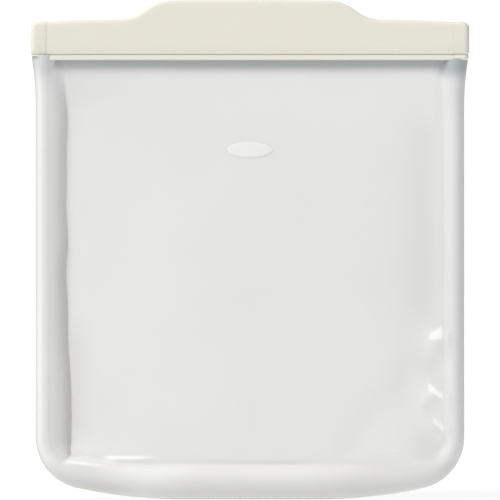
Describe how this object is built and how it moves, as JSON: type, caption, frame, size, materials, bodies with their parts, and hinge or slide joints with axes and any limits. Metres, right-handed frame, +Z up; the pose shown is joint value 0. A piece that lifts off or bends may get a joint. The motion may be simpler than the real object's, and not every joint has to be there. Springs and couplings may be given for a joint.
{
  "type": "reusable silicone bag",
  "caption": "Translucent reusable silicone food bag with a cream press-to-close band whose front and rear lips carry grip tabs and hinge open from the foot of the thin walls.",
  "frame": {"origin": "on the surface the bag stands on, under the centre of its base", "axes": "+Z up through the mouth, -Y out of the front face, +X along the closure band to the right as seen from the front"},
  "size_m": [0.2008, 0.0264, 0.2287],
  "materials": {
    "translucent_silicone": "satin, frosted translucent",
    "cream_silicone": "matte",
    "seal_silicone": "smooth satin"
  },
  "bodies": {
    "pouch": {"left_side_wall": "translucent_silicone", "right_side_wall": "translucent_silicone", "left_bottom_corner": "translucent_silicone", "right_bottom_corner": "translucent_silicone", "bottom_gusset": "translucent_silicone", "left_end_joint": "cream_silicone", "right_end_joint": "cream_silicone"},
    "front_wall": {"front_panel": "translucent_silicone", "blank_oval_pad": "translucent_silicone", "front_collar": "cream_silicone", "front_lip": "cream_silicone", "lower_seal_channel": "seal_silicone", "upper_seal_channel": "seal_silicone"},
    "rear_wall": {"rear_panel": "translucent_silicone", "rear_collar": "cream_silicone", "rear_lip": "cream_silicone", "lower_seal_ridge": "seal_silicone", "upper_seal_ridge": "seal_silicone"}
  },
  "joints": [
    {"name": "front_wall_opens", "type": "hinge", "parent": "pouch", "child": "front_wall", "pos_m": [0, -0.00635, 0.0167], "axis": [1, 0, 0], "range_deg": [0, 9], "stiffness_Nm_per_rad": 0.16},
    {"name": "rear_wall_opens", "type": "hinge", "parent": "pouch", "child": "rear_wall", "pos_m": [0, 0.00635, 0.0167], "axis": [-1, 0, 0], "range_deg": [0, 9], "stiffness_Nm_per_rad": 0.16}
  ]
}
